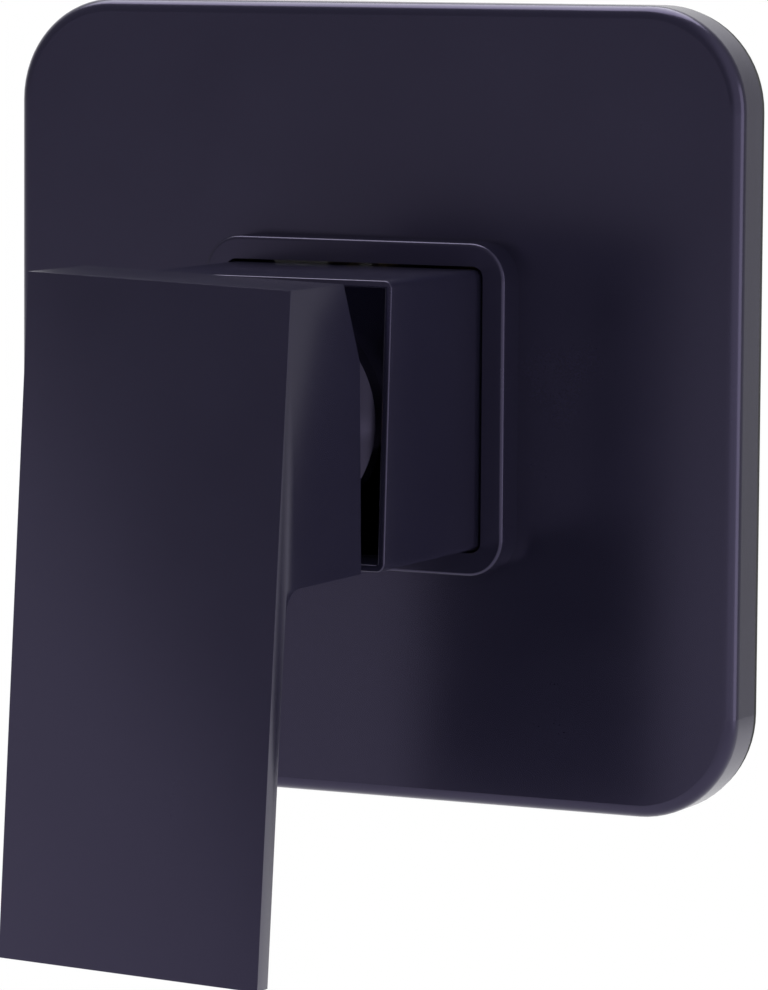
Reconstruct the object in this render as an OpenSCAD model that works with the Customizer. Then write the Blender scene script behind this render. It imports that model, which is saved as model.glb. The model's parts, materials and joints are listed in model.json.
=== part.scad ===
// Concealed single-lever shower mixer with a square wall plate, a square sleeve and a
// flat lever. Each sub-part is drawn lying on its back: x runs to the right, y up the
// wall and z out of the wall. facing_out() then stands it up, so that in the finished
// model the wall's surface is the plane y = 0, the room is at -y and +z is up. The
// origin is where the cartridge's axis meets the wall's surface.

/* [Wall plate] */
// Width of the wall plate
plate_w = 150; // [130:1:180]
// Height of the wall plate
plate_h = 150; // [130:1:180]
// Depth of the plate, from the wall to its face
plate_depth = 11.7; // [9:0.1:16]
// Radius of the plate's corners, seen from the front
plate_corner_r = 19.5; // [8:0.5:30]
// Radius of the plate's rounded front edge
plate_edge_r = 2.4; // [0.8:0.1:4]
// Thickness of the plate's face
plate_face_t = 2.4; // [1.6:0.1:4]
// Thickness of the plate's side walls
plate_side_t = 2.6; // [1.8:0.1:4]
// Thickness of the ribs behind the plate
rib_t = 1.6; // [1:0.1:3]
// Distance of the ribs from the plate's centre lines
rib_offset = 20; // [12:0.5:24]
// Thickness of the foam gasket on the wall
gasket_t = 1.8; // [1:0.1:3]
// Width of the foam gasket
gasket_w = 6; // [4:0.5:10]

/* [Collar] */
// Width of the raised square collar round the plate's opening
collar_w = 62; // [60:0.5:70]
// How far the collar stands out of the plate's face
collar_proud = 6.7; // [2:0.1:10]
// Radius of the collar's outer corners
collar_corner_r = 7; // [3:0.5:10]
// Rounding of the collar's outer front edge
collar_edge_r = 0.7; // [0.2:0.1:1.5]
// Clearance between the sleeve and the collar's opening
collar_gap = 0.6; // [0.3:0.05:1.2]
// Length of the rubber seal behind the collar, along the sleeve
seal_len = 4; // [2:0.5:6]
// Depth of the seal's seat in the collar
seal_depth = 1.6; // [1:0.1:2.5]

/* [Sleeve] */
// Outer width of the square sleeve
sleeve_w = 52.1; // [50:0.1:56]
// Wall thickness of the sleeve
sleeve_t = 1.3; // [0.8:0.1:2]
// Radius of the sleeve's outer corners
sleeve_corner_r = 1.5; // [1:0.1:4]
// Distance of the sleeve's mouth from the wall, on the axis
mouth_h = 57.4; // [55:0.1:61]
// Lean of the mouth, its lower edge further out
mouth_lean = 2.7; // [0:0.1:4]
// How far the sleeve reaches into the wall
sleeve_tail = 8; // [2:0.5:10]
// Thickness of the web inside the sleeve, which the dome cap clamps
web_t = 3; // [2:0.1:4]

/* [Dome cap] */
// Outer radius of the dome cap
cap_r = 20.2; // [19.6:0.1:22]
// Height of the cap's straight skirt
cap_skirt = 3.8; // [3:0.1:5]
// Height that the dome would have if it were closed
cap_rise = 6; // [4:0.1:8]
// Thickness of the dome
cap_t = 1.5; // [1:0.1:2]
// Radius of the hole that the stem moves in
cap_hole_r = 13.5; // [12.5:0.1:14.5]

/* [Lever] */
// Width of the lever
lever_w = 51.5; // [40:0.5:60]
// Height of the lever's top above the axis
lever_top = 27.5; // [24:0.5:32]
// Distance of the lever's lower end below the axis
lever_drop = 94.4; // [70:0.5:140]
// Distance of the lever's front from the wall, on the axis
lever_front_h = 98.4; // [96:0.5:110]
// Lean of the lever's front, its lower end further out
lever_lean = 1.7; // [0:0.1:5]
// Thickness of the lever's blade
blade_t = 4; // [3:0.1:6]
// Distance of the hub's underside below the axis
hub_drop = 24.8; // [22:0.5:28]
// Distance of the hub's lower back edge from the wall
hub_back_h = 65.6; // [64:0.1:70]
// Lean of the hub's back
hub_back_lean = 5.4; // [0:0.1:8]
// Height of the slope that clears the sleeve when the lever is lifted
slope_height = 14.3; // [8:0.1:18]
// Depth of that slope
slope_depth = 7.7; // [4:0.1:10]
// Radius of the fillet between the hub and the blade
root_r = 4.8; // [2:0.1:8]
// Thickness of the hub's walls
hub_t = 3; // [2:0.1:4]
// Outer radius of the boss that holds the stem
boss_r = 7.6; // [7:0.1:8]
// Distance of the boss's end from the wall
boss_h = 60; // [59.5:0.1:62]
// Lever's turn from straight down when the mixer is at rest
rest_swivel = 1.9; // [0:0.1:5]

/* [Stem] */
// Side of the square stem
stem_w = 8; // [7:0.1:8.4]
// Distance of the stem's tip from the wall
stem_tip_h = 86; // [80:0.5:90]
// Distance of the lever's pivot in front of the rotor's inner end
pivot_rise = 8; // [7.5:0.1:8.5]
// Radius of the pivot pin
pivot_pin_r = 1.5; // [1:0.1:1.8]
// Distance from the pivot to the ball that moves the disc
finger_len = 11; // [10:0.1:12]
// Radius of the stem's barrel, which turns on the pivot pin
barrel_r = 5.6; // [5:0.1:6]
// Radius of that ball
ball_r = 3.3; // [2.8:0.1:3.4]
// How far the lever lifts
lift_angle = 25; // [20:1:26]
// How far the lever turns to each side of straight down
turn_angle = 50; // [30:1:55]

/* [Cartridge] */
// Outer radius of the cartridge
cartridge_r = 17.45; // [17:0.05:17.6]
// Distance of the cartridge's seat from the wall
seat_h = 8; // [7:0.1:9]
// Thickness of the cartridge's base
base_t = 4; // [3.5:0.1:4.5]
// Thickness of the fixed ceramic disc
fixed_disc_t = 5; // [4.5:0.1:5.5]
// Thickness of the moving ceramic disc
moving_disc_t = 4; // [3.5:0.1:4.5]
// Thickness of the carrier on the moving disc
carrier_t = 8.5; // [8:0.1:9]
// Length of the rotor
rotor_len = 12.8; // [12.5:0.1:13.5]
// Outer radius of the rotor
rotor_r = 13.14; // [13:0.02:13.2]
// Distance of the rotor's seal behind the pivot
rotor_seal_drop = 2.8; // [2.7:0.1:3.2]
// Radius of the rotor seal's section
rotor_seal_r = 0.95; // [0.8:0.05:1]
// Radius of the moving disc and its carrier
moving_disc_r = 12.4; // [12:0.1:12.8]
// How far the moving disc stands above the axis when it is shut
disc_offset = 2.3; // [2:0.1:2.5]
// Radius of the cold and hot ports in the discs
inlet_port_r = 3; // [2.5:0.1:3.2]
// Radius of the outlet port in the discs
outlet_port_r = 3.6; // [3:0.1:3.8]

/* [Valve body] */
// Outer radius of the body's neck
neck_r = 22; // [21:0.1:23]
// How far the neck's front lies behind the cartridge's front
neck_setback = 2.5; // [2:0.1:3]
// Depth of the pipe ports' axes behind the wall's surface
port_depth = 24; // [20:0.5:40]
// Distance of each port's mouth from the axis
port_reach = 40; // [36:0.5:60]
// Radius of the hole in each port, a half-inch pipe thread
port_r = 9.3; // [9:0.05:9.6]
// Depth of the thread in each port
port_thread_len = 14; // [10:0.5:15]
// Width across the flats of the hexagon on each port
port_hex_w = 30; // [28:0.5:34]
// Radius of the body's round chamber
drum_r = 25; // [24:0.5:30]
// Distance of the chamber's back behind the ports' axes
drum_back_depth = 17; // [16:0.5:24]
// Radius of the lower outlet's plug and its washer
plug_head_r = 12.6; // [12:0.1:14]
// Side of the square foot at the back
foot_w = 68; // [66:1:90]
// Thickness of the foot
foot_t = 5; // [4:0.5:8]
// Spacing of the fixing holes in the foot
fixing_spacing = 54; // [52:0.5:60]
// Radius of the fixing holes
fixing_hole_r = 2.75; // [2:0.05:3.5]

/* [Fits] */
// Clearance round the stem in its socket
socket_gap = 0.06; // [0.03:0.01:0.1]
// Radial clearance of the turning and sliding pieces of the cartridge
running_gap = 0.06; // [0.03:0.01:0.1]
// Radial clearance of threads, which are drawn as plain cylinders
thread_gap = 0.05; // [0.02:0.01:0.1]
// Play of loose pieces in their seats
seat_gap = 0.2; // [0.1:0.05:0.3]

/* [Hidden] */
$fn = 96;
far = 200;

satin_black = [0.10, 0.10, 0.13];
raw_brass = [0.78, 0.64, 0.35];
rubber_black = [0.08, 0.08, 0.08];
foam_grey = [0.22, 0.22, 0.23];
white_plastic = [0.88, 0.88, 0.86];
red_plastic = [0.70, 0.12, 0.10];
ceramic_white = [0.93, 0.92, 0.88];
steel_grey = [0.62, 0.63, 0.65];

// Heights of the cartridge's stacked pieces, from the seat outwards
base_top = seat_h + base_t;
fixed_top = base_top + fixed_disc_t;
moving_top = fixed_top + moving_disc_t;
carrier_top = moving_top + carrier_t;
carrier_step = carrier_top - 5;
rotor_bottom = carrier_top + 0.5;
pivot_h = rotor_bottom + pivot_rise;
ball_h = pivot_h - finger_len;
rotor_top = rotor_bottom + rotor_len;
stop_bottom = rotor_top + 0.3;
stop_top = stop_bottom + 2.5;
housing_top = stop_top + 0.4;
housing_shoulder = housing_top - 10;
nut_top = housing_top + 3;
neck_front_h = housing_top - neck_setback;
web_top = neck_front_h + web_t;
cap_rim_h = web_top + cap_skirt;
rotor_seal_h = pivot_h - rotor_seal_drop;

// Radii of the cartridge's pieces
disc_cavity_r = cartridge_r - 1.55;
rotor_bore_r = rotor_r + running_gap;
rotor_neck_r = rotor_r - 2.34;
lug_r = rotor_neck_r + 1.2;
lug_half_angle = 8;
housing_neck_r = rotor_bore_r + 1.9;
slot_half_w = 5;
slot_half_len = 8.6;
leg_inner = 10;
nut_thread_r = cartridge_r + 1.4;
cap_thread_r = nut_thread_r - 0.45;
chamber_r = cartridge_r + seat_gap;

// Places of the ports in the discs, the base and the body
inlet_x = 5.5;
inlet_y = -2.8;
outlet_y = 7.8;
peg_x = 14.5;
locator_x = 12.5;
locator_y = 4;

// The sphere that the dome cap is a part of
dome_sphere_r = (cap_r ^ 2 + cap_rise ^ 2) / (2 * cap_rise);
dome_centre_h = cap_rim_h + cap_rise - dome_sphere_r;

opening_w = sleeve_w + 2 * collar_gap;
opening_r = sleeve_corner_r + collar_gap;
drum_front = -8;
drum_back = -(port_depth + drum_back_depth);
hub_rib_w = 9;
screw_h = stem_tip_h - 8;
screw_r = 2.5;
screw_len = 10;
socket_w = stem_w + 2 * socket_gap;

// The lever's side view: distance from the wall at height y of each sloping face
function front_at(y) = lever_front_h - y * tan(lever_lean);
function blade_back_at(y) = front_at(y) - blade_t / cos(lever_lean);
function hub_back_at(y) = hub_back_h + (y + hub_drop) * tan(hub_back_lean);

module facing_out() {
    rotate([90, 0, 0]) children();
}

// Turns what belongs to the lever to its place at rest
module turned() {
    rotate([0, 0, -rest_swivel]) children();
}

module rounded_rect(w, h, r) {
    square([w - 2 * r, h], center = true);
    square([w, h - 2 * r], center = true);
    for (sx = [-1, 1], sy = [-1, 1])
        translate([sx * (w / 2 - r), sy * (h / 2 - r)]) circle(r);
}

module slab(w, h, r, t) {
    linear_extrude(t) rounded_rect(w, h, r);
}

// Section of a slab's rim, from its corner's centre outwards, with a rounded upper edge
module rim_section(r, t, edge) {
    square([r - edge, t]);
    square([r, t - edge]);
    translate([r - edge, t - edge]) circle(edge);
}

// Slab with rounded corners and a rounded upper edge
module soft_slab(w, h, r, t, edge) {
    linear_extrude(t) square([w - 2 * r, h - 2 * r], center = true);
    for (side = [0:3]) {
        across = side % 2 == 0 ? w : h;
        up = side % 2 == 0 ? h : w;
        rotate(90 * side) {
            translate([-(across / 2 - r), up / 2 - r, 0])
                rotate([90, 0, 90]) linear_extrude(across - 2 * r) rim_section(r, t, edge);
            translate([across / 2 - r, up / 2 - r, 0])
                rotate_extrude(angle = 90) rim_section(r, t, edge);
        }
    }
}

// Cylinder along z between two heights
module rod(r, low, high) {
    translate([0, 0, low]) cylinder(r = r, h = high - low);
}

module tube(r_out, r_in, low, high) {
    translate([0, 0, low]) difference() {
        cylinder(r = r_out, h = high - low);
        translate([0, 0, -1]) cylinder(r = r_in, h = high - low + 2);
    }
}

// Hexagonal bar along z, measured across its flats
module hex_bar(flats, low, high) {
    translate([0, 0, low]) cylinder(r = flats / 2 / cos(30), h = high - low, $fn = 6);
}

module at_inlets() {
    for (side = [-1, 1]) translate([side * inlet_x, inlet_y, 0]) children();
}

module at_outlet() {
    translate([0, outlet_y, 0]) children();
}

// Wall plate: a shell with a raised collar, which runs on behind the face as a guide
module wall_plate() {
    side_h = plate_depth - gasket_t;
    inner_edge = max(0.3, plate_edge_r - min(plate_face_t, plate_side_t) * 0.6);
    hollow_w = plate_w - 2 * plate_side_t;
    hollow_h = plate_h - 2 * plate_side_t;
    rib_low = gasket_t + 1.2;
    color(satin_black) facing_out() difference() {
        union() {
            translate([0, 0, gasket_t]) difference() {
                soft_slab(plate_w, plate_h, plate_corner_r, side_h, plate_edge_r);
                translate([0, 0, -1])
                    soft_slab(hollow_w, hollow_h, plate_corner_r - plate_side_t,
                        side_h - plate_face_t + 1, inner_edge);
            }
            translate([0, 0, gasket_t])
                soft_slab(collar_w, collar_w, collar_corner_r,
                    side_h + collar_proud, collar_edge_r);
            for (offset_x = [-rib_offset, rib_offset])
                translate([offset_x - rib_t / 2, -hollow_h / 2 - 0.5, rib_low])
                    cube([rib_t, hollow_h + 1, plate_depth - plate_face_t - rib_low + 0.5]);
            for (offset_y = [-rib_offset, rib_offset])
                translate([-hollow_w / 2 - 0.5, offset_y - rib_t / 2, rib_low])
                    cube([hollow_w + 1, rib_t, plate_depth - plate_face_t - rib_low + 0.5]);
        }
        translate([0, 0, gasket_t - 1])
            slab(opening_w, opening_w, opening_r, side_h + collar_proud + 2);
        translate([0, 0, gasket_t - 1])
            slab(opening_w + 2 * seal_depth, opening_w + 2 * seal_depth,
                opening_r + seal_depth, seal_len + 1);
    }
}

module plate_gasket() {
    inset = 0.3;
    outer_w = plate_w - 2 * inset;
    outer_h = plate_h - 2 * inset;
    outer_r = plate_corner_r - inset;
    color(foam_grey) facing_out() difference() {
        slab(outer_w, outer_h, outer_r, gasket_t);
        translate([0, 0, -1])
            slab(outer_w - 2 * gasket_w, outer_h - 2 * gasket_w, outer_r - gasket_w, gasket_t + 2);
    }
}

module sleeve_seal() {
    outer_w = opening_w + 2 * seal_depth - 2 * thread_gap;
    inner_w = sleeve_w + 2 * running_gap;
    color(rubber_black) facing_out() translate([0, 0, gasket_t]) difference() {
        slab(outer_w, outer_w, opening_r + seal_depth - thread_gap, seal_len);
        translate([0, 0, -1]) slab(inner_w, inner_w, sleeve_corner_r + running_gap, seal_len + 2);
    }
}

// Square sleeve over the valve's neck, with a web that the dome cap clamps
module square_sleeve() {
    inner_w = sleeve_w - 2 * sleeve_t;
    inner_r = max(0.3, sleeve_corner_r - sleeve_t);
    color(satin_black) facing_out() difference() {
        translate([0, 0, -sleeve_tail])
            slab(sleeve_w, sleeve_w, sleeve_corner_r, mouth_h + sleeve_tail + 5);
        translate([0, 0, -sleeve_tail - 1])
            slab(inner_w, inner_w, inner_r, neck_front_h + sleeve_tail + 1);
        translate([0, 0, web_top]) slab(inner_w, inner_w, inner_r, far);
        rod(cap_thread_r + seat_gap, 0, far);
        translate([0, 0, mouth_h]) rotate([-mouth_lean, 0, 0])
            translate([-far / 2, -far / 2, 0]) cube(far);
    }
}

module dome_cap() {
    color(satin_black) facing_out() rotate_extrude() difference() {
        intersection() {
            translate([0, dome_centre_h]) circle(dome_sphere_r, $fn = 240);
            translate([cap_hole_r, web_top]) square([cap_r - cap_hole_r, far]);
        }
        intersection() {
            translate([0, dome_centre_h]) circle(dome_sphere_r - cap_t, $fn = 240);
            translate([0, web_top - 1]) square([cap_thread_r + thread_gap, far]);
        }
    }
}

// Ring nut that holds the cartridge down, with slots for a pin wrench
module cartridge_nut() {
    slot_count = 6;
    slot_w = 3;
    slot_depth = 1.6;
    color(raw_brass) facing_out() difference() {
        union() {
            rod(nut_thread_r, housing_shoulder, neck_front_h);
            rod(cap_thread_r, neck_front_h - 1, nut_top);
        }
        rod(housing_neck_r + 0.1, housing_shoulder - 1, housing_top + 0.1);
        rod(rotor_bore_r - 0.6, housing_top, nut_top + 1);
        for (i = [0:slot_count - 1]) rotate(i * 360 / slot_count)
            translate([-slot_w / 2, 0, nut_top - slot_depth]) cube([slot_w, far, slot_depth + 1]);
    }
}

// One arm of the valve body with its hexagon, along +z from the body's middle
module port_arm() {
    hex_len = 12;
    rod(13.4, 0, port_reach - 1);
    rotate(30) hex_bar(port_hex_w, port_reach - hex_len, port_reach);
}

// What is taken out of an arm: the thread's hole and a drill point
module port_hole() {
    rod(port_r, port_reach - port_thread_len, port_reach + 1);
    translate([0, 0, port_reach - port_thread_len - 2])
        cylinder(r1 = port_r - 2, r2 = port_r, h = 2.01, $fn = 64);
}

// Stands children, drawn along +z, on the ports' level and points them along +x, +y, -x, -y
module at_port(turn) {
    translate([0, 0, -port_depth]) rotate(turn) rotate([0, 90, 0]) children();
}

module drum() {
    edge = 4;
    translate([0, 0, drum_back]) rotate_extrude() {
        square([drum_r, drum_front - drum_back - edge]);
        square([drum_r - edge, drum_front - drum_back]);
        translate([drum_r - edge, drum_front - drum_back - edge]) circle(edge);
    }
}

// Brass valve body: neck, chamber, four ports and the foot that is screwed down
module valve_body() {
    channel_end = -port_depth + 4;
    outlet_end = -port_depth - 5;
    color(raw_brass) facing_out() difference() {
        union() {
            rod(neck_r, drum_front - 1, neck_front_h);
            drum();
            for (turn = [0, 90, 180, 270]) at_port(turn) port_arm();
            translate([0, 0, drum_back - foot_t]) slab(foot_w, foot_w, 8, foot_t + 0.5);
        }
        rod(chamber_r, seat_h, neck_front_h + 1);
        rod(nut_thread_r + thread_gap, housing_shoulder - 1.5, neck_front_h + 1);
        at_inlets() rod(inlet_port_r, channel_end, seat_h + 1);
        at_outlet() rod(outlet_port_r, outlet_end, seat_h + 1);
        for (side = [-1, 1]) translate([side * locator_x, locator_y, 0]) rod(1.7, seat_h - 3, seat_h + 1);
        for (turn = [0, 90, 180, 270]) at_port(turn) port_hole();
        for (side = [-1, 1]) translate([side * inlet_x, 0, channel_end - 0.5])
            rotate([0, side * 90, 0]) cylinder(r = 3.4, h = port_reach - port_thread_len - inlet_x);
        translate([0, outlet_y - 1, -port_depth]) rotate([-90, 0, 0])
            cylinder(r = 4, h = port_reach - port_thread_len - outlet_y);
        translate([0, -port_reach + port_thread_len, outlet_end + 3]) rotate([-90, 0, 0])
            cylinder(r = 2.8, h = port_reach - port_thread_len + outlet_y);
        for (sx = [-1, 1], sy = [-1, 1])
            translate([sx * fixing_spacing / 2, sy * fixing_spacing / 2, 0])
                rod(fixing_hole_r, drum_back - foot_t - 1, drum_back + 1);
    }
}

module outlet_plug() {
    seal_t = 1.5;
    head_t = 4;
    head_end = port_reach + seal_t + head_t;
    color(raw_brass) facing_out() at_port(270) difference() {
        union() {
            rod(port_r - thread_gap, port_reach - port_thread_len + 2, port_reach + seal_t + 0.5);
            rod(plug_head_r, port_reach + seal_t, head_end);
        }
        hex_bar(10, head_end - 7, head_end + 1);
    }
}

module plug_seal() {
    color(rubber_black) facing_out() at_port(270)
        tube(plug_head_r, port_r + seat_gap, port_reach, port_reach + 1.5);
}

// Cartridge housing, open at the seat, with a shoulder for the nut
module cartridge_housing() {
    color(white_plastic) facing_out() difference() {
        union() {
            rod(cartridge_r, base_top - 2, housing_shoulder);
            rod(housing_neck_r, housing_shoulder - 1, housing_top);
        }
        rod(disc_cavity_r, base_top - 3, rotor_bottom - 0.2);
        rod(rotor_bore_r, rotor_bottom - 1, housing_top + 1);
    }
}

// Base of the cartridge, with pegs up into the fixed disc and down into the body
module cartridge_base() {
    color(white_plastic) facing_out() difference() {
        union() {
            rod(cartridge_r, seat_h, base_top - 2);
            rod(disc_cavity_r - 0.1, base_top - 3, base_top);
            for (side = [-1, 1]) {
                translate([side * peg_x, 0, 0]) rod(1.2, base_top - 1, base_top + 3);
                translate([side * locator_x, locator_y, 0]) rod(1.6, seat_h - 2.5, seat_h + 1);
            }
        }
        at_inlets() {
            rod(inlet_port_r, seat_h - 1, base_top + 1);
            rod(inlet_port_r + 1.6, seat_h - 1, seat_h + 1.6);
        }
        at_outlet() {
            rod(outlet_port_r, seat_h - 1, base_top + 1);
            rod(outlet_port_r + 1.7, seat_h - 1, seat_h + 1.6);
        }
    }
}

module base_seals() {
    color(rubber_black) facing_out() {
        at_inlets() tube(inlet_port_r + 1.5, inlet_port_r + 0.1, seat_h, seat_h + 1.6);
        at_outlet() tube(outlet_port_r + 1.6, outlet_port_r + 0.1, seat_h, seat_h + 1.6);
    }
}

module fixed_disc() {
    color(ceramic_white) facing_out() difference() {
        rod(disc_cavity_r - seat_gap, base_top, fixed_top);
        at_inlets() rod(inlet_port_r, base_top - 1, fixed_top + 1);
        at_outlet() rod(outlet_port_r, base_top - 1, fixed_top + 1);
        for (side = [-1, 1]) translate([side * peg_x, 0, 0]) rod(1.4, base_top - 1, fixed_top + 1);
    }
}

// Ring that stops the rotor's lug at each end of the turn
module limit_ring() {
    window = turn_angle + lug_half_angle + 1;
    window_x = far * sin(window);
    window_y = far * cos(window);
    color(red_plastic) facing_out() difference() {
        tube(rotor_bore_r - 0.1, rotor_neck_r + 0.2, stop_bottom, stop_top);
        translate([0, 0, stop_bottom - 1]) intersection() {
            cylinder(r = lug_r + 0.15, h = stop_top - stop_bottom + 2);
            linear_extrude(far) polygon([[0, 0], [window_x, window_y], [0, far], [-window_x, window_y]]);
        }
    }
}

// Rotor that turns in the housing and carries the stem's pivot pin
module stem_rotor() {
    groove_w = 2.6 * rotor_seal_r;
    groove_r = rotor_r - 2 * rotor_seal_r;
    color(white_plastic) facing_out() turned() difference() {
        union() {
            rod(rotor_r, rotor_bottom, rotor_top);
            rod(rotor_neck_r, rotor_top - 1, stop_top);
            rotate(90 - lug_half_angle) rotate_extrude(angle = 2 * lug_half_angle)
                translate([rotor_neck_r - 1, rotor_top - 0.5])
                    square([lug_r - rotor_neck_r + 1, stop_top - rotor_top + 0.5]);
            intersection() {
                rod(rotor_r, carrier_step + 0.5, rotor_bottom + 1);
                for (side = [-1, 1]) translate([side * (leg_inner + 5) - 5, -8, 0]) cube([10, 16, far]);
            }
        }
        translate([-slot_half_w, -slot_half_len, 0])
            cube([2 * slot_half_w, 2 * slot_half_len, far]);
        tube(rotor_r + 1, groove_r, rotor_seal_h - groove_w / 2, rotor_seal_h + groove_w / 2);
        translate([-far / 2, 0, pivot_h]) rotate([0, 90, 0]) cylinder(r = pivot_pin_r + 0.02, h = far);
    }
}

module rotor_seal() {
    color(rubber_black) facing_out() turned()
        translate([0, 0, rotor_seal_h]) rotate_extrude()
            translate([rotor_r - rotor_seal_r, 0]) circle(rotor_seal_r, $fn = 32);
}

module pivot_pin() {
    pin_len = 24;
    color(steel_grey) facing_out() turned()
        translate([-pin_len / 2, 0, pivot_h]) rotate([0, 90, 0]) cylinder(r = pivot_pin_r, h = pin_len);
}

// Carrier that the stem's ball pushes across the fixed disc
module disc_carrier() {
    flat_x = leg_inner - running_gap;
    color(white_plastic) facing_out() turned() difference() {
        union() {
            translate([0, disc_offset, 0]) rod(moving_disc_r, moving_top, carrier_step);
            intersection() {
                translate([0, disc_offset, 0]) rod(moving_disc_r, carrier_step - 1, carrier_top);
                translate([-flat_x, -far / 2, 0]) cube([2 * flat_x, far, far]);
            }
        }
        rod(ball_r + 0.3, ball_h - 3.8, carrier_top + 1);
    }
}

module moving_disc() {
    pocket_y = outlet_y - 0.6;
    color(ceramic_white) facing_out() turned() difference() {
        translate([0, disc_offset, 0]) rod(moving_disc_r, fixed_top, moving_top);
        translate([0, pocket_y, 0]) rod(5.6, fixed_top - 1, fixed_top + 2);
    }
}

// Stem: square bar, pivot barrel and the finger with its ball
module stem() {
    chamfer = 0.6;
    color(raw_brass) facing_out() turned() difference() {
        union() {
            intersection() {
                translate([-stem_w / 2, -stem_w / 2, pivot_h])
                    cube([stem_w, stem_w, stem_tip_h - pivot_h]);
                translate([0, 0, pivot_h]) rotate(45)
                    translate([-far / 2, -far / 2, 0]) cube([far, far, stem_tip_h - pivot_h]);
            }
            translate([-slot_half_w + 0.2, 0, pivot_h]) rotate([0, 90, 0])
                cylinder(r = barrel_r, h = 2 * slot_half_w - 0.4);
            rod(2.2, ball_h, pivot_h);
            translate([0, 0, ball_h]) sphere(ball_r);
        }
        translate([-far / 2, 0, pivot_h]) rotate([0, 90, 0])
            cylinder(r = pivot_pin_r + running_gap, h = far);
        for (turn = [0:90:270]) rotate(turn) translate([stem_w / 2, 0, stem_tip_h])
            rotate([0, 45, 0]) cube([chamfer, far, chamfer], center = true);
    }
}

// The lever's side view, with x out of the wall and y up
module lever_side() {
    slope_foot = lever_top - slope_height;
    slope_back = hub_back_at(slope_foot);
    centre_y = -hub_drop - root_r;
    centre_x = blade_back_at(centre_y) - root_r / cos(lever_lean);
    polygon([
        [front_at(lever_top), lever_top],
        [front_at(-lever_drop), -lever_drop],
        [blade_back_at(-lever_drop), -lever_drop],
        [blade_back_at(-hub_drop), -hub_drop],
        [hub_back_at(-hub_drop), -hub_drop],
        [slope_back, slope_foot],
        [slope_back + slope_depth, lever_top]
    ]);
    difference() {
        polygon([
            [centre_x, centre_y],
            [centre_x, -hub_drop],
            [blade_back_at(-hub_drop), -hub_drop],
            [centre_x + root_r * cos(lever_lean), centre_y + root_r * sin(lever_lean)]
        ]);
        translate([centre_x, centre_y]) circle(root_r);
    }
}

// The hollow of the hub in side view, open towards the wall
module hub_hollow_side() {
    slope_foot = lever_top - slope_height;
    slope_back = hub_back_at(slope_foot);
    slope_len = norm([slope_depth, slope_height]);
    foot_x = slope_back + hub_t * slope_height / slope_len;
    foot_y = slope_foot - hub_t * slope_depth / slope_len;
    ceiling = lever_top - hub_t;
    ceiling_x = foot_x + (ceiling - foot_y) * slope_depth / slope_height;
    floor_y = -hub_drop + hub_t;
    polygon([
        [boss_h - 2, foot_y],
        [foot_x, foot_y],
        [ceiling_x, ceiling],
        [blade_back_at(ceiling), ceiling],
        [blade_back_at(floor_y), floor_y],
        [boss_h - 2, floor_y]
    ]);
}

// Draws a side view as wide as w, centred on x = 0
module across(w) {
    rotate([0, -90, 0]) linear_extrude(w, center = true) children();
}

// Lever: one casting, its hub hollow behind and its boss carried by ribs
module lever_handle() {
    color(satin_black) facing_out() turned() difference() {
        union() {
            difference() {
                across(lever_w) lever_side();
                across(lever_w - 2 * hub_t) hub_hollow_side();
            }
            rod(boss_r, boss_h, lever_front_h - blade_t);
            intersection() {
                across(lever_w - 2) lever_side();
                union() {
                    translate([-hub_rib_w / 2, -hub_drop + 1, screw_h - 6])
                        cube([hub_rib_w, hub_drop - 1, far]);
                    translate([-rib_t / 2, 0, screw_h - 6]) cube([rib_t, far, far]);
                    translate([-far / 2, -rib_t / 2, screw_h - 6]) cube([far, rib_t, far]);
                }
            }
        }
        translate([-socket_w / 2, -socket_w / 2, boss_h - 1])
            cube([socket_w, socket_w, stem_tip_h - boss_h + 1.5]);
        translate([0, 0, screw_h]) rotate([90, 0, 0]) cylinder(r = screw_r, h = hub_drop + 1);
    }
}

// Grub screw that grips the stem, reached from under the hub
module lever_screw() {
    color(steel_grey) facing_out() turned() translate([0, -socket_w / 2, screw_h])
        rotate([90, 0, 0]) difference() {
            rod(screw_r - thread_gap, 0, screw_len);
            hex_bar(2.5, screw_len - 3, screw_len + 1);
        }
}

module screw_plug() {
    plug_len = 5;
    color(satin_black) facing_out() turned() translate([0, -hub_drop, screw_h])
        rotate([90, 0, 0]) rod(screw_r - thread_gap, -plug_len, 0);
}

wall_plate();
plate_gasket();
sleeve_seal();
square_sleeve();
dome_cap();
cartridge_nut();
valve_body();
outlet_plug();
plug_seal();
cartridge_housing();
cartridge_base();
base_seals();
fixed_disc();
limit_ring();
stem_rotor();
rotor_seal();
pivot_pin();
disc_carrier();
moving_disc();
stem();
lever_handle();
lever_screw();
screw_plug();
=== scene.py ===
"""Looks of the concealed shower mixer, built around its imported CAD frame."""
import json
import math

import bmesh
import bpy
from mathutils import Matrix, Vector


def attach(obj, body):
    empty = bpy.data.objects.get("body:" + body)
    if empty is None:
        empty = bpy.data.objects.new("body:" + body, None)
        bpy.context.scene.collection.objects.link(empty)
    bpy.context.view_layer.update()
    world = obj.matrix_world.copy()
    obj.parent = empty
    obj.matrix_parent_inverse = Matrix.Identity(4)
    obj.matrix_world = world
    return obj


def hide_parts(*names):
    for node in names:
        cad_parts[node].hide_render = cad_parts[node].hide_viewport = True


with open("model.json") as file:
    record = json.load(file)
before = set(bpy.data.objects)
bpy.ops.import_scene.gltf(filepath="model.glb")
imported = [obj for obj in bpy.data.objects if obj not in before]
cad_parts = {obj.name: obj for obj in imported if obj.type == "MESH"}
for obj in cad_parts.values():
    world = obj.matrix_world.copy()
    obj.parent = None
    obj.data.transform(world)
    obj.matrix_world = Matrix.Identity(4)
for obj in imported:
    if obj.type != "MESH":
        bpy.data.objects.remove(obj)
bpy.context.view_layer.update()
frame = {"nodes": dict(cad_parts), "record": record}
nodes = frame["nodes"]
scene = bpy.context.scene
MM = 0.001

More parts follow.
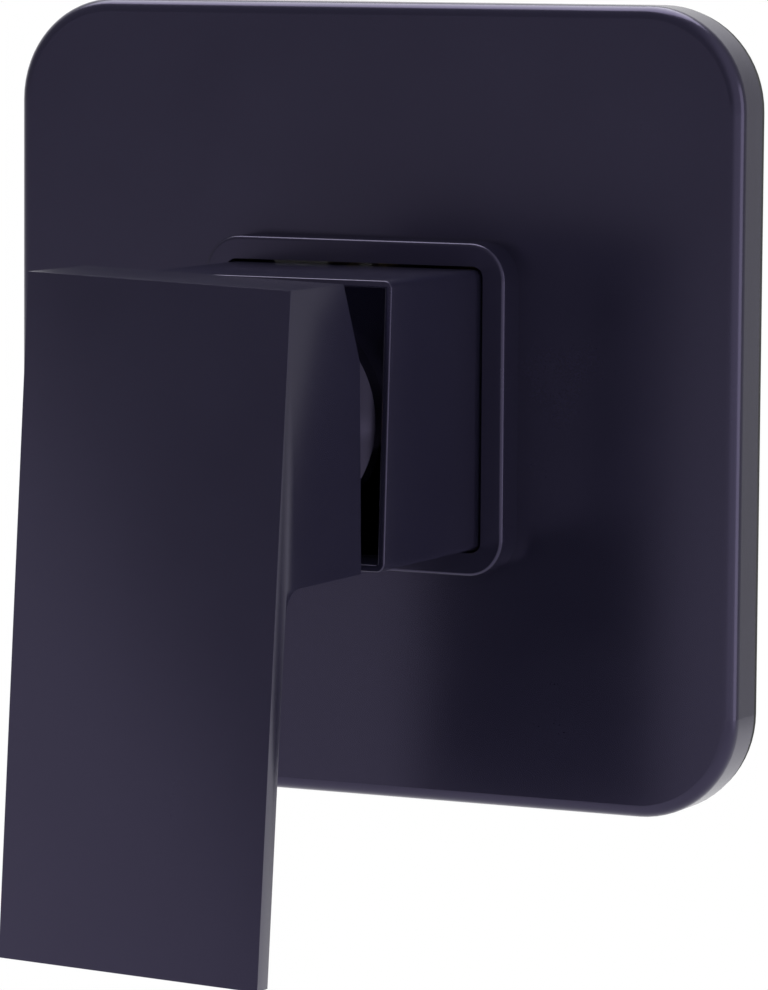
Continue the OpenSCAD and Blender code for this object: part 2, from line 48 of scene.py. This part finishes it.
# Camera, at the photograph's viewing angle
CAMERA_AT = (0.44392, -0.93285, 0.08757)
CAMERA_YAW = 25.55
CAMERA_DIP = 5.87
CAMERA_ROLL = 0.39
SENSOR_MM = 36
LENS_MM = 255.6


def make_camera():
    yaw, dip, roll = (math.radians(a) for a in (CAMERA_YAW, CAMERA_DIP, CAMERA_ROLL))
    forward = Vector((-math.sin(yaw) * math.cos(dip), math.cos(yaw) * math.cos(dip), -math.sin(dip)))
    level = Vector((math.cos(yaw), math.sin(yaw), 0))
    upward = level.cross(forward)
    right = level * math.cos(roll) + upward * math.sin(roll)
    up = upward * math.cos(roll) - level * math.sin(roll)
    data = bpy.data.cameras.new("camera")
    data.sensor_fit = "HORIZONTAL"
    data.sensor_width = SENSOR_MM
    data.lens = LENS_MM
    data.clip_start = 0.01
    data.clip_end = 50
    camera = bpy.data.objects.new("camera", data)
    turn = Matrix((right, up, -forward)).transposed().to_4x4()
    camera.matrix_world = Matrix.Translation(CAMERA_AT) @ turn
    scene.collection.objects.link(camera)
    scene.camera = camera


class Nodes:
    """Shorthand for building a material's node tree."""

    def __init__(self, tree):
        self.tree = tree
        tree.nodes.clear()

    def add(self, kind, inputs=None, **settings):
        node = self.tree.nodes.new(kind)
        for key, value in settings.items():
            setattr(node, key, value)
        for key, value in (inputs or {}).items():
            self.feed(node.inputs[key], value)
        return node

    def feed(self, socket, value):
        if hasattr(value, "outputs"):
            value = value.outputs[0]
        if isinstance(value, bpy.types.NodeSocket):
            self.tree.links.new(value, socket)
        else:
            socket.default_value = value

    def maths(self, operation, a, b=0.0, clamp=False):
        node = self.add("ShaderNodeMath", operation=operation, use_clamp=clamp)
        self.feed(node.inputs[0], a)
        self.feed(node.inputs[1], b)
        return node

    def spread(self, value, from_low, from_high, low, high):
        return self.add("ShaderNodeMapRange", {
            "Value": value, "From Min": from_low, "From Max": from_high, "To Min": low, "To Max": high})

    def blend(self, share, first, second):
        node = self.add("ShaderNodeMix", data_type="RGBA")
        self.feed(node.inputs["Factor"], share)
        self.feed(node.inputs["A"], first)
        self.feed(node.inputs["B"], second)
        return node.outputs["Result"]

    def noise(self, place, scale, detail=3.0, roughness=0.5):
        return self.add("ShaderNodeTexNoise", {
            "Vector": place, "Scale": scale, "Detail": detail, "Roughness": roughness}).outputs["Fac"]


def rgba(colour):
    return (*colour, 1.0)


def finish(name, dark, light, roughness, grain=900.0, mottle=60.0, bump=0.05, bump_depth=0.02,
           metallic=0.0, ior=1.5, tint=(1, 1, 1), coat=0.0, coat_roughness=0.1, stretch=(1, 1, 1)):
    """A surface whose colour and roughness vary by a slow mottle and a fine grain, with the grain in its bump."""
    material = bpy.data.materials.new(name)
    material.use_nodes = True
    n = Nodes(material.node_tree)
    place = n.add("ShaderNodeTexCoord").outputs["Object"]
    stretched = n.add("ShaderNodeMapping", {"Vector": place, "Scale": stretch}).outputs["Vector"]
    slow = n.noise(place, mottle, 4.0)
    fine = n.noise(stretched, grain, 3.0, 0.6)
    mixed = n.maths("ADD", n.maths("MULTIPLY", slow, 0.7), n.maths("MULTIPLY", fine, 0.3))
    share = n.spread(mixed, 0.35, 0.65, 0.0, 1.0)
    colour = n.blend(share.outputs[0], rgba(dark), rgba(light))
    rough = n.spread(mixed, 0.3, 0.7, roughness[0], roughness[1]).outputs[0]
    relief = n.add("ShaderNodeBump", {"Strength": bump, "Distance": bump_depth * MM, "Height": fine})
    shader = n.add("ShaderNodeBsdfPrincipled", {
        "Base Color": colour, "Roughness": rough, "Metallic": metallic, "IOR": ior,
        "Normal": relief.outputs["Normal"], "Coat Weight": coat, "Coat Roughness": coat_roughness,
        "Specular Tint": rgba(tint)})
    n.add("ShaderNodeOutputMaterial", {"Surface": shader})
    return material


def dress(material, *names):
    for name in names:
        slots = nodes[name].data.materials
        if not slots:
            slots.append(material)
        for i in range(len(slots)):
            slots[i] = material


def bevelled(name, width, segments=3, angle=25.0):
    """A copy of a CAD node whose flat faces are joined and whose edges are rounded."""
    source = nodes[name]
    mesh = source.data.copy()
    mesh.name = name + "_rounded"
    bm = bmesh.new()
    bm.from_mesh(mesh)
    bmesh.ops.remove_doubles(bm, verts=bm.verts, dist=0.002 * MM)
    bmesh.ops.dissolve_limit(bm, angle_limit=math.radians(0.4), verts=bm.verts, edges=bm.edges)
    for face in bm.faces:
        face.smooth = True
    bm.to_mesh(mesh)
    bm.free()
    piece = bpy.data.objects.new(name + "_rounded", mesh)
    scene.collection.objects.link(piece)
    bevel = piece.modifiers.new("edges", "BEVEL")
    bevel.width = width * MM
    bevel.segments = segments
    bevel.limit_method = "ANGLE"
    bevel.angle_limit = math.radians(angle)
    bevel.harden_normals = True
    bevel.miter_outer = "MITER_ARC"
    return piece


def body_of(name):
    for body, members in frame["record"]["behaviour"]["bodies"].items():
        if name in members:
            return body


def replace_with_rounded(name, width, material, segments=3, angle=25.0):
    piece = bevelled(name, width, segments, angle)
    piece.data.materials.clear()
    piece.data.materials.append(material)
    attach(piece, body_of(name))
    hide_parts(name)
    return piece


make_camera()

# Materials
VIOLET = (0.68, 0.60, 1.0)
black_coat = finish("black_coat", (0.0092, 0.0084, 0.0190), (0.0112, 0.0104, 0.0225), (0.19, 0.24),
                    grain=2600.0, mottle=35.0, bump=0.10, bump_depth=0.01, ior=1.6, tint=VIOLET)
brass = finish("brass", (0.50, 0.33, 0.12), (0.72, 0.53, 0.24), (0.28, 0.46), grain=900.0, mottle=90.0,
               bump=0.25, bump_depth=0.08, metallic=1.0)
steel = finish("steel", (0.42, 0.42, 0.44), (0.56, 0.56, 0.58), (0.25, 0.36), grain=1500.0, metallic=1.0)
ceramic = finish("ceramic", (0.80, 0.78, 0.72), (0.88, 0.86, 0.81), (0.12, 0.2), grain=1200.0, bump=0.02)
white_plastic = finish("white_plastic", (0.70, 0.70, 0.67), (0.80, 0.80, 0.77), (0.40, 0.5), bump=0.06)
red_plastic = finish("red_plastic", (0.38, 0.02, 0.015), (0.48, 0.035, 0.02), (0.38, 0.48), bump=0.06)
black_plastic = finish("black_plastic", (0.012, 0.011, 0.014), (0.018, 0.017, 0.021), (0.42, 0.52), bump=0.1)
rubber = finish("rubber", (0.012, 0.012, 0.013), (0.020, 0.020, 0.021), (0.58, 0.7), grain=1400.0, bump=0.15)
foam = finish("foam", (0.018, 0.018, 0.019), (0.040, 0.040, 0.042), (0.85, 0.95), grain=2200.0, bump=0.6,
              bump_depth=0.15)
fibre = finish("fibre", (0.22, 0.045, 0.03), (0.33, 0.08, 0.05), (0.6, 0.75), grain=1700.0, bump=0.3)

dress(black_coat, "wall_plate", "dome_cap")
dress(foam, "plate_gasket")
dress(rubber, "sleeve_seal", "base_seals", "rotor_seal")
dress(brass, "valve_body", "cartridge_nut", "outlet_plug", "stem")
dress(fibre, "plug_seal")
dress(white_plastic, "cartridge_housing", "cartridge_base", "stem_rotor", "disc_carrier")
dress(red_plastic, "limit_ring")
dress(ceramic, "fixed_disc", "moving_disc")
dress(steel, "pivot_pin", "lever_screw")
dress(black_plastic, "screw_plug")

replace_with_rounded("lever_handle", 0.75, black_coat, segments=4)
replace_with_rounded("square_sleeve", 0.35, black_coat)


# Surroundings: a white room behind the object, dimmer towards the camera
def make_world():
    world = bpy.data.worlds.new("studio")
    scene.world = world
    world.use_nodes = True
    n = Nodes(world.node_tree)
    way = n.add("ShaderNodeSeparateXYZ", {0: n.add("ShaderNodeTexCoord").outputs["Generated"]})
    behind = n.spread(way.outputs["Y"], -0.15, 0.45, 0.0, 1.0).outputs[0]
    below = n.spread(way.outputs["Z"], -0.22, 0.0, 1.15, 0.28).outputs[0]
    beside = n.spread(way.outputs["X"], 0.05, 0.55, 0.0, 0.55).outputs[0]
    ahead = n.maths("ADD", below, beside)
    backdrop = n.spread(way.outputs["X"], 0.0, 0.35, 1.0, 0.45).outputs[0]
    level = n.add("ShaderNodeMix", data_type="FLOAT")
    n.feed(level.inputs["Factor"], behind)
    n.feed(level.inputs["A"], ahead)
    n.feed(level.inputs["B"], backdrop)
    seen = n.add("ShaderNodeLightPath").outputs["Is Camera Ray"]
    strength = n.maths("MAXIMUM", level.outputs["Result"], seen)
    glow = n.add("ShaderNodeBackground", {"Color": (1, 1, 1, 1), "Strength": strength})
    n.add("ShaderNodeOutputWorld", {"Surface": glow})


make_world()


# Softboxes, one overhead and one on the right
def make_lamp(name, place, aim, width, height, radiance):
    data = bpy.data.lights.new(name, "AREA")
    data.shape = "RECTANGLE"
    data.size = width
    data.size_y = height
    data.energy = radiance * math.pi * width * height
    lamp = bpy.data.objects.new(name, data)
    lamp.location = place
    lamp.rotation_euler = (Vector(aim) - Vector(place)).to_track_quat("-Z", "Y").to_euler()
    scene.collection.objects.link(lamp)


make_lamp("overhead_softbox", (-0.30, 0.20, 1.30), (-0.05, 0.0, 0.0), 1.4, 1.2, 4.5)
make_lamp("right_softbox", (1.30, 0.12, -0.12), (0.0, 0.0, 0.0), 0.7, 1.3, 1.7)


# Floor, white to the camera, out of the frame below the object
def make_floor():
    drop = -0.30
    half = 1.2
    mesh = bpy.data.meshes.new("floor")
    corners = [(-half, -half, drop), (half, -half, drop), (half, half, drop), (-half, half, drop)]
    mesh.from_pydata(corners, [], [(0, 1, 2, 3)])
    floor = bpy.data.objects.new("floor", mesh)
    scene.collection.objects.link(floor)
    material = bpy.data.materials.new("floor")
    material.use_nodes = True
    n = Nodes(material.node_tree)
    place = n.add("ShaderNodeTexCoord").outputs["Object"]
    cloud = n.noise(place, 3.0)
    matt = n.add("ShaderNodeBsdfDiffuse", {"Color": n.blend(cloud, rgba((0.84,) * 3), rgba((0.88,) * 3))})
    white = n.add("ShaderNodeEmission", {"Color": (1, 1, 1, 1), "Strength": 1.0})
    seen = n.add("ShaderNodeLightPath").outputs["Is Camera Ray"]
    n.add("ShaderNodeOutputMaterial", {"Surface": n.add("ShaderNodeMixShader", {0: seen, 1: matt, 2: white})})
    mesh.materials.append(material)


make_floor()

scene.view_settings.view_transform = "Standard"
